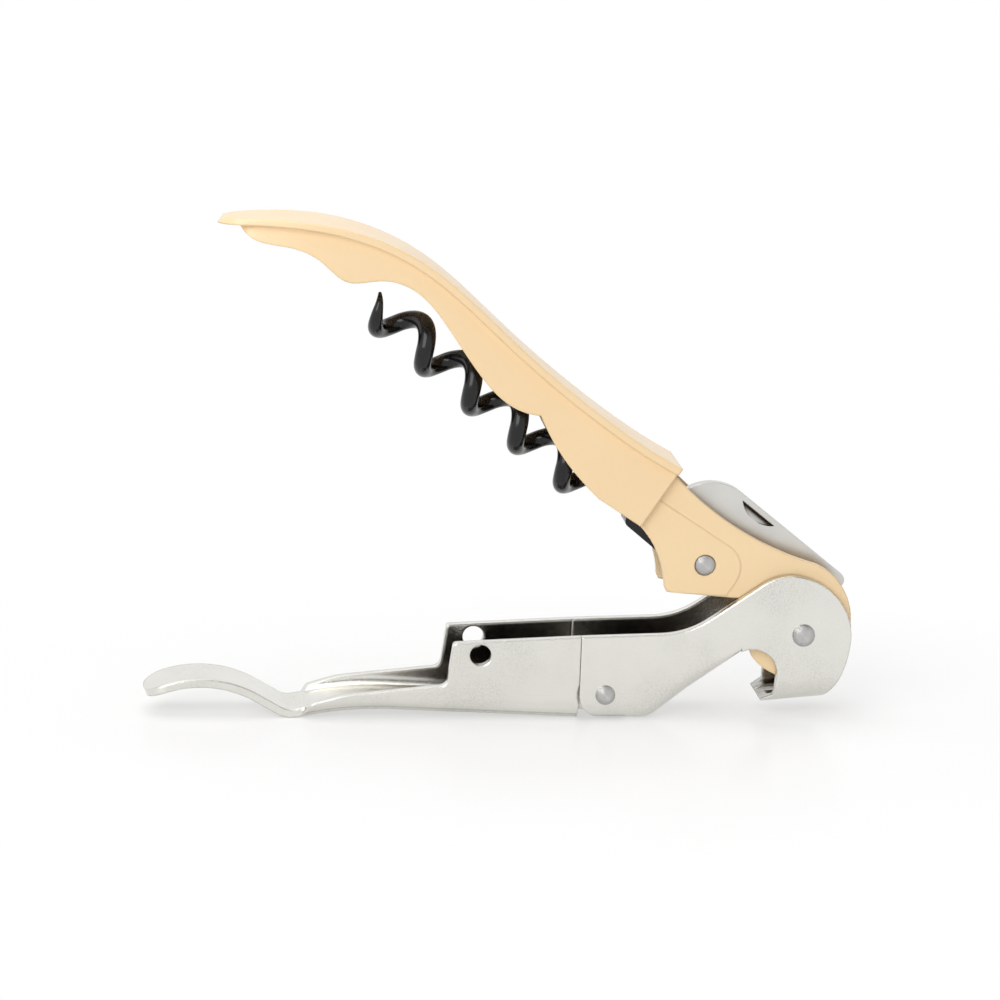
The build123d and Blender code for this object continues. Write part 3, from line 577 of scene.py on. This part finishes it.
class CORKSCREW_OT_turn_rivets(bpy.types.Operator):
    """Give the rivets and washers the rings of turned steel"""

    bl_idname = "corkscrew.turn_rivets"
    bl_label = "Turn Rivets"

    def execute(self, context):
        steel = context.scene.corkscrew_steel
        finish = Finish("rivet_steel")
        centred = finish.add(
            "ShaderNodeMapping",
            {"Vector": finish.place.outputs["Generated"], "Location": (-0.5, -0.5, -0.5)},
        ).outputs["Vector"]
        rings = finish.add(
            "ShaderNodeTexWave",
            {"Vector": centred, "Scale": RING_SCALE, "Distortion": RING_WAVER, "Detail": 2.0},
            wave_type="RINGS",
            rings_direction="Y",
        ).outputs["Fac"]
        darker = toned(steel.rivet_colour, RIVET_DARKER)
        shade = finish.ramp(rings, 0.0, RIVET_DARKER_SHARE)
        finish.set("Base Color", finish.mix(shade, opaque(steel.rivet_colour), darker))
        finish.set("Metallic", 1.0)
        finish.set("Roughness", finish.ramp(rings, *RIVET_ROUGHNESS))
        rounded = finish.rounded(RIVET_EDGE)
        finish.set("Normal", finish.bump(rings, RING_STRENGTH, RING_HEIGHT, rounded))
        finish.dress(TURNED_PIECES)
        return {"FINISHED"}


class CORKSCREW_OT_coat_worm(bpy.types.Operator):
    """Coat the worm and its hub black"""

    bl_idname = "corkscrew.coat_worm"
    bl_label = "Coat Worm"

    def execute(self, context):
        coat = context.scene.corkscrew_coat
        finish = Finish("black_coat")
        sags = finish.noise(coat.flow, detail=3.0)
        lighter = toned(coat.colour, COAT_LIGHTER)
        shade = finish.ramp(sags, 0.0, COAT_LIGHTER_SHARE, *SAG_RANGE)
        finish.set("Base Color", finish.mix(shade, opaque(coat.colour), lighter))
        spread = around(coat.roughness, COAT_ROUGHNESS_SPREAD)
        finish.set("Roughness", finish.ramp(sags, *spread))
        rounded = finish.rounded(COAT_EDGE)
        finish.set("Normal", finish.bump(sags, SAG_STRENGTH, SAG_HEIGHT, rounded))
        finish.set("Specular IOR Level", COAT_GLOSS)
        finish.set("Coat Weight", COAT_CLEAR)
        finish.set("Coat Roughness", COAT_CLEAR_ROUGHNESS)
        finish.dress(COATED_PIECES)
        return {"FINISHED"}


def camera_axes(stage):
    """The camera's right, up and backward directions."""
    back = Vector((
        math.sin(stage.azimuth) * math.cos(stage.elevation),
        -math.cos(stage.azimuth) * math.cos(stage.elevation),
        math.sin(stage.elevation),
    ))
    level = Vector((math.cos(stage.azimuth), math.sin(stage.azimuth), 0))
    over = back.cross(level)
    right = level * math.cos(stage.roll) + over * math.sin(stage.roll)
    return right, back.cross(right), back


def add_camera(stage, scene):
    """Places the camera so that the head rivet lands where the picture has it."""
    right, up, back = camera_axes(stage)
    low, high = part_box("head_rivet")
    cheek_low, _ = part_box("lever_upper_link")
    rivet = Vector(((low.x + high.x) / 2, cheek_low.y, (low.z + high.z) / 2))
    data = bpy.data.cameras.new("studio_camera")
    data.lens = stage.lens
    data.sensor_width = SENSOR_WIDTH
    data.clip_start = CLIP_START
    spread = data.sensor_width / stage.lens
    across = right * spread * (stage.rivet_across - 0.5)
    ray = -back + across - up * spread * (stage.rivet_down - 0.5)
    camera = bpy.data.objects.new("studio_camera", data)
    place = rivet - ray * stage.distance
    turn = Matrix((right, up, back)).transposed().to_4x4()
    camera.matrix_world = Matrix.Translation(place) @ turn
    scene.collection.objects.link(camera)
    scene.camera = camera


def add_lamp(scene, name, place, aim, size, power):
    """A square soft lamp at a place, turned to a point."""
    data = bpy.data.lights.new(name, "AREA")
    data.energy = power
    data.size = size
    lamp = bpy.data.objects.new(name, data)
    lamp.location = place
    lamp.rotation_euler = (Vector(aim) - Vector(place)).to_track_quat("-Z", "Y").to_euler()
    scene.collection.objects.link(lamp)


def add_floor(stage, scene):
    """A wide pale floor that fades into the white of the backdrop."""
    sides = ((-1, -1), (1, -1), (1, 1), (-1, 1))
    corners = [(FLOOR_HALF * x, FLOOR_HALF * y, FLOOR_LEVEL) for x, y in sides]
    mesh = bpy.data.meshes.new("floor")
    mesh.from_pydata(corners, [], [(0, 1, 2, 3)])
    floor = bpy.data.objects.new("floor", mesh)
    scene.collection.objects.link(floor)
    finish = Finish("pale_floor")
    finish.set("Base Color", opaque(stage.floor_colour))
    finish.set("Roughness", finish.ramp(finish.noise(FLOOR_MOTTLE), *FLOOR_ROUGHNESS))
    finish.set("Specular IOR Level", FLOOR_GLOSS)
    white = finish.add("ShaderNodeEmission", {"Color": WHITE, "Strength": 1.0})
    middle = (cad_box[0] + cad_box[1]) / 2
    oval = finish.add(
        "ShaderNodeMapping",
        {
            "Vector": finish.place.outputs["Object"],
            "Location": (middle.x, middle.y, 0),
            "Scale": FADE_SHAPE,
        },
        vector_type="TEXTURE",
    ).outputs["Vector"]
    reach = finish.add("ShaderNodeVectorMath", {0: oval}, operation="LENGTH").outputs["Value"]
    fade = finish.ramp(reach, 1.0 - stage.shadow, 1.0, start=FADE_START, end=FADE_END)
    shown = finish.shown(finish.add("ShaderNodeLightPath"))
    share = finish.combine("MULTIPLY", fade, shown)
    finish.blend_shaders(share, finish.shader, white, "Material Output")
    mesh.materials.append(finish.material)


def light_sky(stage, scene):
    """An even sky, plain white where it is seen, that mirrors as white with a dark ceiling."""
    world = bpy.data.worlds.new("studio_sky")
    scene.world = world
    world.use_nodes = True
    sky = Nodes(world.node_tree)
    even = world.node_tree.nodes["Background"]
    sky.put(even, "Color", WHITE)
    sky.put(even, "Strength", stage.sky)
    direction = sky.add("ShaderNodeTexCoord").outputs["Generated"]
    upward = sky.add("ShaderNodeSeparateXYZ", {0: direction}).outputs["Z"]
    mirrored = sky.ramp(upward, 1.0, stage.ceiling, start=CEILING_START, end=CEILING_FULL)
    path = sky.add("ShaderNodeLightPath")
    strength = sky.combine("MAXIMUM", path.outputs["Is Camera Ray"], mirrored)
    seen = sky.add("ShaderNodeBackground", {"Color": WHITE, "Strength": strength})
    sky.blend_shaders(sky.shown(path), even, seen, "World Output")


class CORKSCREW_OT_build_stage(bpy.types.Operator):
    """Set up the floor, the lamps, the sky and the camera"""

    bl_idname = "corkscrew.build_stage"
    bl_label = "Build Stage"

    def execute(self, context):
        scene = context.scene
        stage = scene.corkscrew_stage
        scene.view_settings.view_transform = "Standard"
        add_floor(stage, scene)
        light_sky(stage, scene)
        aim = (cad_box[0] + cad_box[1]) / 2
        add_lamp(scene, "top_lamp", TOP_LAMP_PLACE, aim, TOP_LAMP_SIZE, stage.top_power)
        add_lamp(scene, "front_lamp", FRONT_LAMP_PLACE, aim, FRONT_LAMP_SIZE, stage.front_power)
        add_camera(stage, scene)
        return {"FINISHED"}


OPERATORS = (
    CORKSCREW_OT_paint_handle,
    CORKSCREW_OT_plate_lever,
    CORKSCREW_OT_grind_knife,
    CORKSCREW_OT_turn_rivets,
    CORKSCREW_OT_coat_worm,
    CORKSCREW_OT_build_stage,
)


class CORKSCREW_PT_finishes(bpy.types.Panel):
    """Lists the corkscrew's finishes and their settings."""

    bl_idname = "CORKSCREW_PT_finishes"
    bl_label = "Lever Corkscrew"
    bl_space_type = "VIEW_3D"
    bl_region_type = "UI"
    bl_category = "Corkscrew"

    def draw(self, context):
        for operator in OPERATORS:
            self.layout.operator(operator.bl_idname)
        for name, group in SETTINGS.items():
            box = self.layout.box()
            box.label(text=group.__doc__.rstrip("."))
            settings = getattr(context.scene, name)
            for key in group.__annotations__:
                box.prop(settings, key)


CLASSES = (*SETTINGS.values(), *OPERATORS, CORKSCREW_PT_finishes)


def register():
    """Registers the classes and hangs the settings on the scene."""
    for item in CLASSES:
        bpy.utils.register_class(item)
    for name, group in SETTINGS.items():
        setattr(bpy.types.Scene, name, bpy.props.PointerProperty(type=group))


def unregister():
    """Takes the settings and the classes away again."""
    for name in SETTINGS:
        delattr(bpy.types.Scene, name)
    for item in reversed(CLASSES):
        bpy.utils.unregister_class(item)


def main():
    """Dresses the corkscrew and sets the stage."""
    register()
    bpy.ops.corkscrew.paint_handle()
    bpy.ops.corkscrew.plate_lever()
    bpy.ops.corkscrew.grind_knife()
    bpy.ops.corkscrew.turn_rivets()
    bpy.ops.corkscrew.coat_worm()
    bpy.ops.corkscrew.build_stage()


if __name__ == "__main__":
    main()
